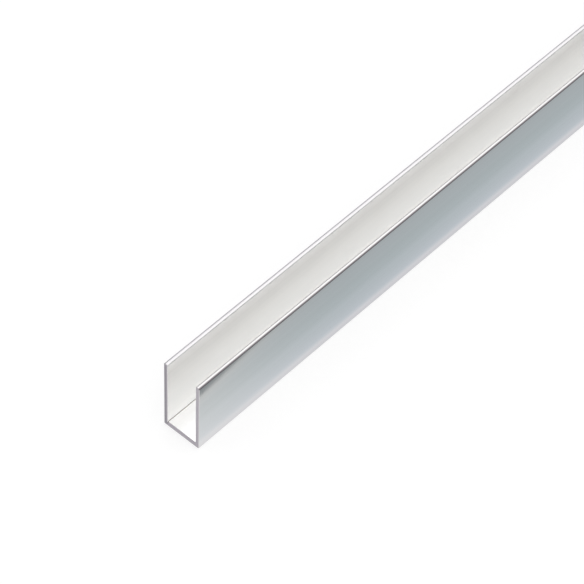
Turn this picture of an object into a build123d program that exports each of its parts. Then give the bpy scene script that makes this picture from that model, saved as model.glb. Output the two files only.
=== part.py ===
# Aluminium channel section, one straight extrusion with two equal flanges on a narrow web.
#
# It stands as it would lie on a floor: the web is underneath and the open side is up.
# X runs across the web, Y along the stock and Z up the flanges. The origin is on the
# underside of the web, midway along the stock and midway between the flanges.
from build123d import *
import os

# Section and stock sizes, in millimetres
stock_length = 1000.0
web_width = 10.0  # outside, over both flanges
flange_height = 20.0  # outside, from the underside of the web to the tips
wall = 1.0  # web and both flanges

# Radii that the die gives the section
heel_radius = 0.3  # outside, where a flange meets the web
root_radius = 0.15  # inside, where a flange meets the web
tip_radius = 0.42  # both edges of each flange tip

# The saw's burr is broken off every edge of both ends
end_break = 0.1

# The web's upper edge between the flanges is filed back further, and steeply
web_setback = 0.28
web_drop = 0.45

# The slot between the flanges follows from the outside sizes and the wall
slot_width = web_width - 2 * wall
slot_depth = flange_height - wall


def at_height(sketch, height):
    """Corners of a sketch that lie at one height above the underside."""
    level = 1e-4
    return [v for v in sketch.vertices() if abs(v.Z - height) < level]


def section():
    """The U-shaped section, upright in the XZ plane, with its corners rounded."""
    with BuildSketch(Plane.XZ) as profile:
        Rectangle(web_width, flange_height, align=(Align.CENTER, Align.MIN))
        with Locations((0, wall)):
            Rectangle(
                slot_width,
                slot_depth,
                align=(Align.CENTER, Align.MIN),
                mode=Mode.SUBTRACT,
            )
    outline = profile.sketch
    outline = fillet(at_height(outline, 0), heel_radius)
    outline = fillet(at_height(outline, wall), root_radius)
    return fillet(at_height(outline, flange_height), tip_radius)


def filed_corner():
    """The wedge that is filed off the web's upper edge at the near end."""
    end = -stock_length / 2
    low = wall - web_drop
    high = wall + root_radius
    back = end + (high - low) * web_setback / web_drop
    with BuildSketch(Plane.YZ) as profile:
        Polygon((end, low), (back, high), (end, high), align=None)
    return extrude(profile.sketch, amount=slot_width / 2, both=True)


def channel():
    """The section drawn out to the stock length, with both sawn ends broken."""
    bar = extrude(section(), amount=stock_length / 2, both=True)
    by_place = bar.edges().group_by(Axis.Y)
    bar = chamfer(by_place[0] + by_place[-1], end_break)
    near_corner = filed_corner()
    return bar - near_corner - mirror(near_corner, about=Plane.XZ)


os.makedirs("parts", exist_ok=True)
export_step(channel(), "parts/channel.step")
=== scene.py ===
import math

import bpy
from mathutils import Matrix, Vector


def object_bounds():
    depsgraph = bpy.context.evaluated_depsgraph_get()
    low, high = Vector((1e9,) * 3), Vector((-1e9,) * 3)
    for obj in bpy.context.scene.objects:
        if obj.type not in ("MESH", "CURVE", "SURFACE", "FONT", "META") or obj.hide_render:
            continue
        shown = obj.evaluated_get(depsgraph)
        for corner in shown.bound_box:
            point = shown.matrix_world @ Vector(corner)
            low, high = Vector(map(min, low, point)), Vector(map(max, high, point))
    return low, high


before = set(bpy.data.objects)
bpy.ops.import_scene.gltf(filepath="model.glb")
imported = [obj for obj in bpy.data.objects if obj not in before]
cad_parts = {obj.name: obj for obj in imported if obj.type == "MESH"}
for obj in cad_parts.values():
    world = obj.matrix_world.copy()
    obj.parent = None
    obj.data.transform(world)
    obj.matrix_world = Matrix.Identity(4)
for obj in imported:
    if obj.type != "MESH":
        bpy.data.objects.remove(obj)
cadLow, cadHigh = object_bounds()
print("frame loaded:", ", ".join(sorted(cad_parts)))

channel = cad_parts["channel"]
halfWidth, halfLength, channelHeight = cadHigh
mm = 0.001
wall = 1 * mm  # the channel's web and flanges
white = (1, 1, 1, 1)

# The Mix node's sockets go by number, because several have the same name
numberA, numberB, colourA, colourB = 2, 3, 6, 7
mixedNumber, mixedColour = 0, 2


def linearColour(code):
    # sRGB hex to linear RGBA
    parts = [int(code[i:i + 2], 16) / 255 for i in (1, 3, 5)]
    linear = [c / 12.92 if c <= 0.04045 else ((c + 0.055) / 1.055) ** 2.4 for c in parts]
    return (*linear, 1.0)


def addNode(tree, kind, settings=None, inputs=None):
    # one node, its settings and what each input holds or is linked from
    node = tree.nodes.new(kind)
    for name, value in (settings or {}).items():
        setattr(node, name, value)
    for name, value in (inputs or {}).items():
        if isinstance(value, bpy.types.NodeSocket):
            tree.links.new(value, node.inputs[name])
        else:
            node.inputs[name].default_value = value
    return node


def emptyTree(holder):
    holder.use_nodes = True
    holder.node_tree.nodes.clear()
    return holder.node_tree


# Camera: where the photograph was taken from, in degrees and in pixels of its square frame
photoView = {
    "frameSize": 584,
    "heading": 39.96,  # turned left from looking straight along the channel
    "pitch": 49.4,  # looking down
    "roll": 2.94,
    "focalLength": 2603,  # in pixels
    "nearEndX": 181.35,  # where the near end's bottom centre shows
    "nearEndY": 435.78,
    "nearEndDepth": 544.6 * mm,
    "clipStart": 10 * mm,
    "clipEnd": 50.0,
}


def placeCamera(shot):
    heading, pitch, roll = (math.radians(shot[k]) for k in ("heading", "pitch", "roll"))
    forward = Vector((
        -math.sin(heading) * math.cos(pitch),
        math.cos(heading) * math.cos(pitch),
        -math.sin(pitch),
    ))
    level = Vector((math.cos(heading), math.sin(heading), 0))
    upright = level.cross(forward)
    right = math.cos(roll) * level + math.sin(roll) * upright
    up = math.cos(roll) * upright - math.sin(roll) * level
    scale = shot["nearEndDepth"] / shot["focalLength"]  # metres to a pixel at the near end
    middle = shot["frameSize"] / 2
    nearEnd = Vector((0, -halfLength, 0))
    place = (
        nearEnd
        - (shot["nearEndX"] - middle) * scale * right
        - (middle - shot["nearEndY"]) * scale * up
        - shot["nearEndDepth"] * forward
    )
    data = bpy.data.cameras.new("photoCamera")
    data.lens = shot["focalLength"] / shot["frameSize"] * data.sensor_width
    data.clip_start = shot["clipStart"]
    data.clip_end = shot["clipEnd"]
    camera = bpy.data.objects.new("photoCamera", data)
    bpy.context.scene.collection.objects.link(camera)
    turned = Matrix((right, up, -forward)).transposed().to_4x4()
    camera.matrix_world = Matrix.Translation(place) @ turned
    bpy.context.scene.camera = camera


placeCamera(photoView)
print("camera placed")


# Anodised aluminium: a clear satin oxide over etched metal, so it is pale, soft in its
# reflections and streaked along its length by the die. The slot is painted paler, a painted
# highlight, with painted shade along its corners. The right tip's outer edge has a painted dark
# reflection, and the left tip has painted shade on top and painted highlights along its edges.
# The rounded tips are the dullest, and the ends are bare sawn metal with the blade's curved marks.
anodised = {
    "metal": "#ECEBEA",
    "streak": "#E8E7E6",
    "streakFrom": 0.7,  # value of the die lines' noise where a streak starts, and where it is full
    "streakTo": 1.3,
    "dieLine": 0.35 * mm,  # spacing of the fine lines, drawn coarser than the real 0.1 mm to show
    "dieLineDetail": 2,
    "dieBand": 2.5 * mm,  # width of the broad faint bands
    "dieBandDetail": 1,
    "lineRun": 1500 * mm,  # how far a line goes on before it fades
    "lineCells": 0.5,  # cells of noise to one spacing
    "lineGrain": 0.6,  # how much the noise's finer steps count
    "relief": 0.001 * mm,  # height of the die lines and of the saw's marks
    "roughness": 0.1,
    "roughnessSwing": 0.015,
    # the slot's colours are painted paler than the outside, a painted highlight
    "slotMetal": "#F0EFED",
    "slotStreak": "#EBEBEA",
    "slotTopHighlight": "#FFFFFF",  # painted highlight: the slot's sides pale towards the tips
    "slotTopReach": 3 * mm,
    "rootHighlight": 0.4,  # and a painted highlight again towards the web
    "rootPalingHeight": 4 * mm,
    "webHighlight": 0.9,  # and the web itself is painted nearly white, a painted highlight
    "slotCornerShade": "#DAD7D4",  # painted shade: a grey line along the slot's corners
    "cornerReach": 0.15 * mm,
    "slotRoughness": 0.3,  # of the slot's sides
    "tipRound": 0.42 * mm,  # height of the rounded tips
    "tipRoughness": 0.36,
    # painted dark reflection along the right tip's outer edge
    "darkEdgeReflection": "#8C8689",
    "reflectionFrom": 0.1,  # how far outward the tip has turned where the painted dark reflection starts and is full
    "reflectionTo": 0.55,
    # the left tip: painted shade on top and painted highlights along its edges
    "leftTipShade": "#D9D7D9",
    "edgeHighlight": "#FFFFFF",
    "highlightFrom": 0.45,  # and how far to either side, where the left tip's painted highlight starts and is full
    "highlightTo": 0.9,
    "sawn": "#B3AFB5",
    "sawnGroove": "#9D98A0",
    "sawnFrom": 0.6,  # how far a face looks along the channel where it starts to count as sawn
    "sawnTo": 0.84,
    "sawMark": 0.3 * mm,  # spacing of the saw's marks
    "sawMarkDetail": 3,
    "sawMarkGrain": 0.7,
    "bladeAside": 125 * mm,  # from the middle of the channel's underside to the blade's middle
    "bladeBelow": 62.5 * mm,
}


def alongNoise(tree, look, place, spacing, detail):
    # noise across the channel, drawn out along it
    stretched = addNode(tree, "ShaderNodeMapping", {}, {
        "Vector": place,
        "Scale": (1 / spacing, 1 / look["lineRun"], 1 / spacing),
    }).outputs["Vector"]
    return addNode(tree, "ShaderNodeTexNoise", {}, {
        "Vector": stretched,
        "Scale": look["lineCells"],
        "Detail": detail,
        "Roughness": look["lineGrain"],
    }).outputs["Fac"]


def dieLines(tree, look, place):
    # the die's lines, as height and as streaks from 0 to 1
    fine = alongNoise(tree, look, place, look["dieLine"], look["dieLineDetail"])
    broad = alongNoise(tree, look, place, look["dieBand"], look["dieBandDetail"])
    lines = addNode(tree, "ShaderNodeMath", {"operation": "ADD"}, {0: fine, 1: broad}).outputs[0]
    streaks = addNode(tree, "ShaderNodeMapRange", {}, {
        "Value": lines, "From Min": look["streakFrom"], "From Max": look["streakTo"],
    }).outputs["Result"]
    return lines, streaks


def slotPlaces(tree, look, where, atTip):
    # 1 in the slot below its tips, and within the slot on the web and in the two corners, where the
    # painted shade goes
    fromMiddle = addNode(tree, "ShaderNodeMath", {"operation": "ABSOLUTE"}, {
        0: where["X"],
    }).outputs[0]
    between = addNode(tree, "ShaderNodeMath", {"operation": "LESS_THAN"}, {
        0: fromMiddle, 1: halfWidth - wall / 2,
    }).outputs[0]
    overWeb = addNode(tree, "ShaderNodeMath", {"operation": "GREATER_THAN"}, {
        0: where["Z"], 1: wall / 2,
    }).outputs[0]
    inside = addNode(tree, "ShaderNodeMath", {"operation": "MULTIPLY"}, {
        0: between, 1: overWeb,
    }).outputs[0]
    belowTip = addNode(tree, "ShaderNodeMath", {"operation": "SUBTRACT"}, {
        0: 1.0, 1: atTip,
    }).outputs[0]
    inSlot = addNode(tree, "ShaderNodeMath", {"operation": "MULTIPLY"}, {
        0: inside, 1: belowTip,
    }).outputs[0]
    onWeb = addNode(tree, "ShaderNodeMath", {"operation": "LESS_THAN"}, {
        0: where["Z"], 1: wall + look["cornerReach"],
    }).outputs[0]
    beside = addNode(tree, "ShaderNodeMath", {"operation": "GREATER_THAN"}, {
        0: fromMiddle, 1: halfWidth - wall - look["cornerReach"],
    }).outputs[0]
    inShadedCorner = addNode(tree, "ShaderNodeMath", {"operation": "MULTIPLY"}, {
        0: onWeb, 1: beside,
    }).outputs[0]
    return inSlot, onWeb, inShadedCorner


def slotStreaksAndHighlight(tree, look, where, streaks, onWeb, inShadedCorner):
    # the slot's streaked colour, with painted highlight towards the tips and the web, and painted
    # shade in the corners
    colour = addNode(tree, "ShaderNodeMix", {"data_type": "RGBA"}, {
        "Factor": streaks,
        colourA: linearColour(look["slotMetal"]),
        colourB: linearColour(look["slotStreak"]),
    }).outputs[mixedColour]
    nearTip = addNode(tree, "ShaderNodeMapRange", {}, {
        "Value": where["Z"],
        "From Min": channelHeight - look["slotTopReach"],
        "From Max": channelHeight - look["tipRound"],
    }).outputs["Result"]
    colour = addNode(tree, "ShaderNodeMix", {"data_type": "RGBA"}, {
        "Factor": nearTip,
        colourA: colour,
        colourB: linearColour(look["slotTopHighlight"]),
    }).outputs[mixedColour]
    webHighlight = addNode(tree, "ShaderNodeMath", {"operation": "MULTIPLY"}, {
        0: onWeb, 1: look["webHighlight"],
    }).outputs[0]
    sideHighlight = addNode(tree, "ShaderNodeMapRange", {}, {
        "Value": where["Z"],
        "From Min": look["rootPalingHeight"],
        "From Max": wall,
        "To Max": look["rootHighlight"],
    }).outputs["Result"]
    paling = addNode(tree, "ShaderNodeMath", {"operation": "MAXIMUM"}, {
        0: webHighlight, 1: sideHighlight,
    }).outputs[0]
    colour = addNode(tree, "ShaderNodeMix", {"data_type": "RGBA"}, {
        "Factor": paling,
        colourA: colour,
        colourB: white,
    }).outputs[mixedColour]
    # painted shade along the slot's corners
    return addNode(tree, "ShaderNodeMix", {"data_type": "RGBA"}, {
        "Factor": inShadedCorner,
        colourA: colour,
        colourB: linearColour(look["slotCornerShade"]),
    }).outputs[mixedColour]


def paintedRightTipReflection(tree, look, colour, across, atTip, onRight):
    # the right tip's outer edge is painted grey, a painted dark reflection
    turned = addNode(tree, "ShaderNodeMapRange", {}, {
        "Value": across, "From Min": look["reflectionFrom"], "From Max": look["reflectionTo"],
    }).outputs["Result"]
    darkReflection = addNode(tree, "ShaderNodeMath", {"operation": "MULTIPLY"}, {
        0: turned, 1: atTip,
    }).outputs[0]
    darkReflection = addNode(tree, "ShaderNodeMath", {"operation": "MULTIPLY"}, {
        0: darkReflection, 1: onRight,
    }).outputs[0]
    return addNode(tree, "ShaderNodeMix", {"data_type": "RGBA"}, {
        "Factor": darkReflection,
        colourA: colour,
        colourB: linearColour(look["darkEdgeReflection"]),
    }).outputs[mixedColour]


def paintedLeftTipLight(tree, look, colour, across, atTip, onRight):
    # the left tip is painted a little grey on top, painted shade, and bright along both its edges,
    # painted highlights
    sideways = addNode(tree, "ShaderNodeMath", {"operation": "ABSOLUTE"}, {0: across}).outputs[0]
    litEdges = addNode(tree, "ShaderNodeMapRange", {}, {
        "Value": sideways, "From Min": look["highlightFrom"], "From Max": look["highlightTo"],
    }).outputs["Result"]
    tipColour = addNode(tree, "ShaderNodeMix", {"data_type": "RGBA"}, {
        "Factor": litEdges,
        colourA: linearColour(look["leftTipShade"]),
        colourB: linearColour(look["edgeHighlight"]),
    }).outputs[mixedColour]
    onLeftTip = addNode(tree, "ShaderNodeMath", {"operation": "GREATER_THAN"}, {
        0: atTip, 1: onRight,
    }).outputs[0]
    return addNode(tree, "ShaderNodeMix", {"data_type": "RGBA"}, {
        "Factor": onLeftTip,
        colourA: colour,
        colourB: tipColour,
    }).outputs[mixedColour]


def sawnPlaces(tree, look, trueNormal):
    # 1 on the two ends, which face along Y
    along = addNode(tree, "ShaderNodeSeparateXYZ", {}, {"Vector": trueNormal}).outputs["Y"]
    steep = addNode(tree, "ShaderNodeMath", {"operation": "ABSOLUTE"}, {0: along}).outputs[0]
    return addNode(tree, "ShaderNodeMapRange", {}, {
        "Value": steep, "From Min": look["sawnFrom"], "From Max": look["sawnTo"],
    }).outputs["Result"]


def sawMarks(tree, look, place):
    # arcs around the middle of the blade
    fromBlade = addNode(tree, "ShaderNodeMapping", {}, {
        "Vector": place,
        "Location": (look["bladeAside"], 0, look["bladeBelow"]),
        "Scale": (1, 0, 1),
    }).outputs["Vector"]
    reach = addNode(tree, "ShaderNodeVectorMath", {"operation": "LENGTH"}, {
        0: fromBlade,
    }).outputs["Value"]
    marks = addNode(tree, "ShaderNodeMath", {"operation": "MULTIPLY"}, {
        0: reach, 1: 1 / look["sawMark"],
    }).outputs[0]
    return addNode(tree, "ShaderNodeTexNoise", {"noise_dimensions": "1D"}, {
        "W": marks,
        "Scale": 1.0,
        "Detail": look["sawMarkDetail"],
        "Roughness": look["sawMarkGrain"],
    }).outputs["Fac"]


def satinRoughness(tree, look, streaks, inSlot, onWeb, atTip):
    swing = addNode(tree, "ShaderNodeMapRange", {}, {
        "Value": streaks,
        "To Min": -look["roughnessSwing"],
        "To Max": look["roughnessSwing"],
    }).outputs["Result"]
    slotLevel = addNode(tree, "ShaderNodeMapRange", {}, {
        "Value": onWeb, "To Min": look["slotRoughness"], "To Max": look["roughness"],
    }).outputs["Result"]
    level = addNode(tree, "ShaderNodeMix", {"data_type": "FLOAT"}, {
        "Factor": inSlot, numberA: look["roughness"], numberB: slotLevel,
    }).outputs[mixedNumber]
    level = addNode(tree, "ShaderNodeMix", {"data_type": "FLOAT"}, {
        "Factor": atTip, numberA: level, numberB: look["tipRoughness"],
    }).outputs[mixedNumber]
    return addNode(tree, "ShaderNodeMath", {"operation": "ADD"}, {0: level, 1: swing}).outputs[0]


def anodisedAluminium(look):
    material = bpy.data.materials.new("anodisedAluminium")
    tree = emptyTree(material)
    place = addNode(tree, "ShaderNodeTexCoord").outputs["Object"]
    where = addNode(tree, "ShaderNodeSeparateXYZ", {}, {"Vector": place}).outputs
    normals = addNode(tree, "ShaderNodeNewGeometry").outputs
    across = addNode(tree, "ShaderNodeSeparateXYZ", {}, {
        "Vector": normals["Normal"],
    }).outputs["X"]
    onRight = addNode(tree, "ShaderNodeMath", {"operation": "GREATER_THAN"}, {
        0: where["X"], 1: 0.0,
    }).outputs[0]
    atTip = addNode(tree, "ShaderNodeMath", {"operation": "GREATER_THAN"}, {
        0: where["Z"], 1: channelHeight - look["tipRound"],
    }).outputs[0]
    inSlot, onWeb, inShadedCorner = slotPlaces(tree, look, where, atTip)
    sawn = sawnPlaces(tree, look, normals["True Normal"])
    lines, streaks = dieLines(tree, look, place)
    marks = sawMarks(tree, look, place)

    colour = addNode(tree, "ShaderNodeMix", {"data_type": "RGBA"}, {
        "Factor": streaks,
        colourA: linearColour(look["metal"]),
        colourB: linearColour(look["streak"]),
    }).outputs[mixedColour]
    colour = addNode(tree, "ShaderNodeMix", {"data_type": "RGBA"}, {
        "Factor": inSlot,
        colourA: colour,
        colourB: slotStreaksAndHighlight(tree, look, where, streaks, onWeb, inShadedCorner),
    }).outputs[mixedColour]
    colour = paintedRightTipReflection(tree, look, colour, across, atTip, onRight)
    colour = paintedLeftTipLight(tree, look, colour, across, atTip, onRight)
    sawnColour = addNode(tree, "ShaderNodeMix", {"data_type": "RGBA"}, {
        "Factor": marks,
        colourA: linearColour(look["sawnGroove"]),
        colourB: linearColour(look["sawn"]),
    }).outputs[mixedColour]
    colour = addNode(tree, "ShaderNodeMix", {"data_type": "RGBA"}, {
        "Factor": sawn,
        colourA: colour,
        colourB: sawnColour,
    }).outputs[mixedColour]
    relief = addNode(tree, "ShaderNodeMix", {"data_type": "FLOAT"}, {
        "Factor": sawn, numberA: lines, numberB: marks,
    }).outputs[mixedNumber]
    bump = addNode(tree, "ShaderNodeBump", {}, {
        "Strength": 1.0, "Distance": look["relief"], "Height": relief,
    }).outputs["Normal"]
    shader = addNode(tree, "ShaderNodeBsdfPrincipled", {}, {
        "Base Color": colour,
        "Metallic": 1.0,
        "Roughness": satinRoughness(tree, look, streaks, inSlot, onWeb, atTip),
        "Normal": bump,
    }).outputs["BSDF"]
    addNode(tree, "ShaderNodeOutputMaterial", {}, {"Surface": shader})
    return material


channel.material_slots[0].material = anodisedAluminium(anodised)
print("channel finished")


# Floor: matt white paper, lifted a little for the rays that show it, so that it shows as white
# and still takes the channel's shadow.
floorLook = {
    "paper": "#AAAAAA",
    "lift": 0.645,
    "size": 12.0,
}


def showingRays(tree):
    # 1 for camera, glossy and transmission rays, which show the floor and the world
    rays = addNode(tree, "ShaderNodeLightPath").outputs
    showing = addNode(tree, "ShaderNodeMath", {"operation": "MAXIMUM"}, {
        0: rays["Is Camera Ray"], 1: rays["Is Glossy Ray"],
    }).outputs[0]
    return addNode(tree, "ShaderNodeMath", {"operation": "MAXIMUM"}, {
        0: showing, 1: rays["Is Transmission Ray"],
    }).outputs[0]


def whitePaper(look):
    material = bpy.data.materials.new("mattWhitePaper")
    tree = emptyTree(material)
    paper = addNode(tree, "ShaderNodeBsdfDiffuse", {}, {
        "Color": linearColour(look["paper"]),
    }).outputs["BSDF"]
    strength = addNode(tree, "ShaderNodeMath", {"operation": "MULTIPLY"}, {
        0: showingRays(tree), 1: look["lift"],
    }).outputs[0]
    lift = addNode(tree, "ShaderNodeEmission", {}, {"Strength": strength}).outputs["Emission"]
    total = addNode(tree, "ShaderNodeAddShader", {}, {0: paper, 1: lift}).outputs["Shader"]
    addNode(tree, "ShaderNodeOutputMaterial", {}, {"Surface": total})
    return material


def levelSheet(name, outline, level, material):
    # a level sheet with the given corners in X and Y
    mesh = bpy.data.meshes.new(name)
    mesh.from_pydata([(x, y, level) for x, y in outline], [], [range(len(outline))])
    mesh.materials.append(material)
    sheet = bpy.data.objects.new(name, mesh)
    bpy.context.scene.collection.objects.link(sheet)
    return sheet


half = floorLook["size"] / 2
square = [(-half, -half), (half, -half), (half, half), (-half, half)]
levelSheet("floor", square, 0, whitePaper(floorLook))
print("floor laid")


# Cards: a studio's pale and grey cards, which show only in the metal's reflections. A narrow pale
# strip lies along each side on a wide grey card, and a tall grey card stands on the left. The
# strip tapers and pales towards its ends, and its rim there is paler still. A small card lies in
# front of each end.
cards = {
    "foot": "#DBDCE1",
    "heel": "#E1E2E7",
    "low": "#C8D0D7",
    "middle": "#B5BFC3",
    "tip": "#B1B8BC",
    "footAt": 0.35 * mm,  # distances from the channel's face where each grey is reached
    "heelAt": 0.75 * mm,
    "lowAt": 1.6 * mm,
    "middleAt": 6 * mm,
    "tipAt": 10.5 * mm,
    "endPaling": 0.45,
    "endRun": 60 * mm,
    "endCurve": 2.0,  # power that keeps the paling near the very ends
    "rim": "#F2ECE2",
    "rimWidth": 1.6 * mm,
    "rimPaling": 0.3,
    "stripWidth": 12.5 * mm,
    "stripEndWidth": 8.7 * mm,
    "stripTaper": 61 * mm,
    "grey": "#8E9396",
    "greyWidth": 250 * mm,
    "clearWidth": 15 * mm,  # beside the channel, where the grey card stops level with its ends
    "end": "#D8D8DA",
    "endReach": 14 * mm,
    "endSlant": 11.5 * mm,  # how far its edge leans left over that reach
    "endWidth": 30 * mm,
    "standing": "#BEBEC0",
    "standingHeight": 360 * mm,
    "lift": 0.1 * mm,  # from the floor up to the grey cards, then the strips, then the end cards
}


def onlyReflected(card):
    # a card is seen by glossy rays and by nothing else
    card.visible_camera = False
    card.visible_diffuse = False
    card.visible_transmission = False
    card.visible_volume_scatter = False
    card.visible_shadow = False


def layCard(name, outline, layer, material):
    onlyReflected(levelSheet(name, outline, layer * cards["lift"], material))


def stripGreys(tree, look, spread):
    # the strip's greys, by their distance from the channel's face
    share = addNode(tree, "ShaderNodeMapRange", {}, {
        "Value": spread["X"], "From Min": halfWidth, "From Max": halfWidth + look["tipAt"],
    }).outputs["Result"]
    ramp = addNode(tree, "ShaderNodeValToRGB", {}, {"Fac": share})
    stops = ramp.color_ramp.elements
    stops[0].position = look["footAt"] / look["tipAt"]
    stops[0].color = linearColour(look["foot"])
    stops[1].position = 1
    stops[1].color = linearColour(look["tip"])
    for grey, distance in (("heel", "heelAt"), ("low", "lowAt"), ("middle", "middleAt")):
        stop = stops.new(look[distance] / look["tipAt"])
        stop.color = linearColour(look[grey])
    return ramp.outputs["Color"]


def stripRim(tree, look, spread):
    # how much of the rim's colour shows: most at the tapered outline, none a rim's width inside it
    outline = addNode(tree, "ShaderNodeMapRange", {}, {
        "Value": spread["Y"],
        "From Min": halfLength - look["stripTaper"],
        "From Max": halfLength,
        "To Min": halfWidth + look["stripWidth"],
        "To Max": halfWidth + look["stripEndWidth"],
    }).outputs["Result"]
    inside = addNode(tree, "ShaderNodeMath", {"operation": "SUBTRACT"}, {
        0: outline, 1: spread["X"],
    }).outputs[0]
    return addNode(tree, "ShaderNodeMapRange", {}, {
        "Value": inside,
        "From Min": look["rimWidth"],
        "From Max": 0.0,
        "To Max": look["rimPaling"],
    }).outputs["Result"]


def paleStrip(look):
    material = bpy.data.materials.new("paleStrip")
    tree = emptyTree(material)
    place = addNode(tree, "ShaderNodeTexCoord").outputs["Object"]
    spread = addNode(tree, "ShaderNodeVectorMath", {"operation": "ABSOLUTE"}, {0: place})
    spread = addNode(tree, "ShaderNodeSeparateXYZ", {}, {"Vector": spread.outputs[0]}).outputs
    nearEnd = addNode(tree, "ShaderNodeMapRange", {}, {
        "Value": spread["Y"], "From Min": halfLength - look["endRun"], "From Max": halfLength,
    }).outputs["Result"]
    paling = addNode(tree, "ShaderNodeMath", {"operation": "POWER"}, {
        0: nearEnd, 1: look["endCurve"],
    }).outputs[0]
    paling = addNode(tree, "ShaderNodeMath", {"operation": "MULTIPLY"}, {
        0: paling, 1: look["endPaling"],
    }).outputs[0]
    colour = addNode(tree, "ShaderNodeMix", {"data_type": "RGBA"}, {
        "Factor": paling,
        colourA: stripGreys(tree, look, spread),
        colourB: white,
    }).outputs[mixedColour]
    rim = addNode(tree, "ShaderNodeMath", {"operation": "MULTIPLY"}, {
        0: stripRim(tree, look, spread), 1: nearEnd,
    }).outputs[0]
    colour = addNode(tree, "ShaderNodeMix", {"data_type": "RGBA"}, {
        "Factor": rim,
        colourA: colour,
        colourB: linearColour(look["rim"]),
    }).outputs[mixedColour]
    glow = addNode(tree, "ShaderNodeEmission", {}, {"Color": colour}).outputs["Emission"]
    addNode(tree, "ShaderNodeOutputMaterial", {}, {"Surface": glow})
    return material


def plainCard(name, code):
    material = bpy.data.materials.new(name)
    tree = emptyTree(material)
    glow = addNode(tree, "ShaderNodeEmission", {}, {"Color": linearColour(code)})
    addNode(tree, "ShaderNodeOutputMaterial", {}, {"Surface": glow.outputs["Emission"]})
    return material


pale = paleStrip(cards)
grey = plainCard("greyCard", cards["grey"])
greyEnd = halfLength + cards["greyWidth"]
taperStart = halfLength - cards["stripTaper"]
for side, name in ((-1, "left"), (1, "right")):
    foot, tapered, full, clear, far = (
        side * (halfWidth + width)
        for width in (
            0, cards["stripEndWidth"], cards["stripWidth"], cards["clearWidth"], cards["greyWidth"],
        )
    )
    strip = [
        (foot, -halfLength), (tapered, -halfLength), (full, -taperStart),
        (full, taperStart), (tapered, halfLength), (foot, halfLength),
    ]
    beside = [(foot, -halfLength), (clear, -halfLength), (clear, halfLength), (foot, halfLength)]
    wide = [(clear, -greyEnd), (far, -greyEnd), (far, greyEnd), (clear, greyEnd)]
    layCard(name + "InnerCard", beside, 1, grey)
    layCard(name + "GreyCard", wide, 1, grey)
    layCard(name + "PaleStrip", strip, 2, pale)

# The small cards darken the end face of the flange that is on the left, seen from that end
for side, name in ((-1, "near"), (1, "far")):
    corner = side * (halfWidth - wall)
    lean = side * cards["endSlant"]
    outer = side * cards["endWidth"]
    front = side * (halfLength + cards["endReach"])
    outline = [
        (corner, side * halfLength), (corner + lean, front),
        (corner + lean + outer, front), (corner + outer, side * halfLength),
    ]
    layCard(name + "EndCard", outline, 3, plainCard("endCard", cards["end"]))

top = cards["standingHeight"]
upright = [(0, -greyEnd), (top, -greyEnd), (top, greyEnd), (0, greyEnd)]
standing = levelSheet("standingCard", upright, 0, plainCard("standingCard", cards["standing"]))
standing.rotation_euler = (0, -math.pi / 2, 0)
standing.location.x = -halfWidth - cards["greyWidth"]
onlyReflected(standing)
print("cards set up")


# World: white where it shows, to the camera and in reflections, and softer as light on the floor
sky = {
    "ambient": 0.7,
}


def lightWorld(look):
    world = bpy.data.worlds.new("studio")
    tree = emptyTree(world)
    strength = addNode(tree, "ShaderNodeMapRange", {}, {
        "Value": showingRays(tree), "To Min": look["ambient"], "To Max": 1.0,
    }).outputs["Result"]
    light = addNode(tree, "ShaderNodeBackground", {}, {
        "Color": white, "Strength": strength,
    }).outputs["Background"]
    addNode(tree, "ShaderNodeOutputWorld", {}, {"Surface": light})
    bpy.context.scene.world = world


lightWorld(sky)

# Softboxes: each a rectangle of soft light that faces the middle of the channel
softboxes = {
    "overheadSoftbox": {"place": (0.0, 0.0, 1.6), "size": (3.2, 3.4), "brightness": 0.5},
    "rightSoftbox": {"place": (0.85, 0.6, 1.5), "size": (1.1, 1.4), "brightness": 0.055},
}


def addSoftbox(name, box):
    data = bpy.data.lights.new(name, "AREA")
    data.shape = "RECTANGLE"
    data.size, data.size_y = box["size"]
    data.energy = box["brightness"] * math.pi * data.size * data.size_y
    light = bpy.data.objects.new(name, data)
    light.location = box["place"]
    light.rotation_mode = "QUATERNION"
    light.rotation_quaternion = Vector(box["place"]).to_track_quat("Z", "Y")
    bpy.context.scene.collection.objects.link(light)


for name, box in softboxes.items():
    addSoftbox(name, box)
print("lights set")

# Light bounces many times between the flanges, and paths that ended early there would be grain
mostBounces = 24
sureBounces = 10
cycles = bpy.context.scene.cycles
cycles.max_bounces = mostBounces
cycles.glossy_bounces = mostBounces
cycles.min_light_bounces = sureBounces

# Colours render as they are written
bpy.context.scene.view_settings.view_transform = "Standard"
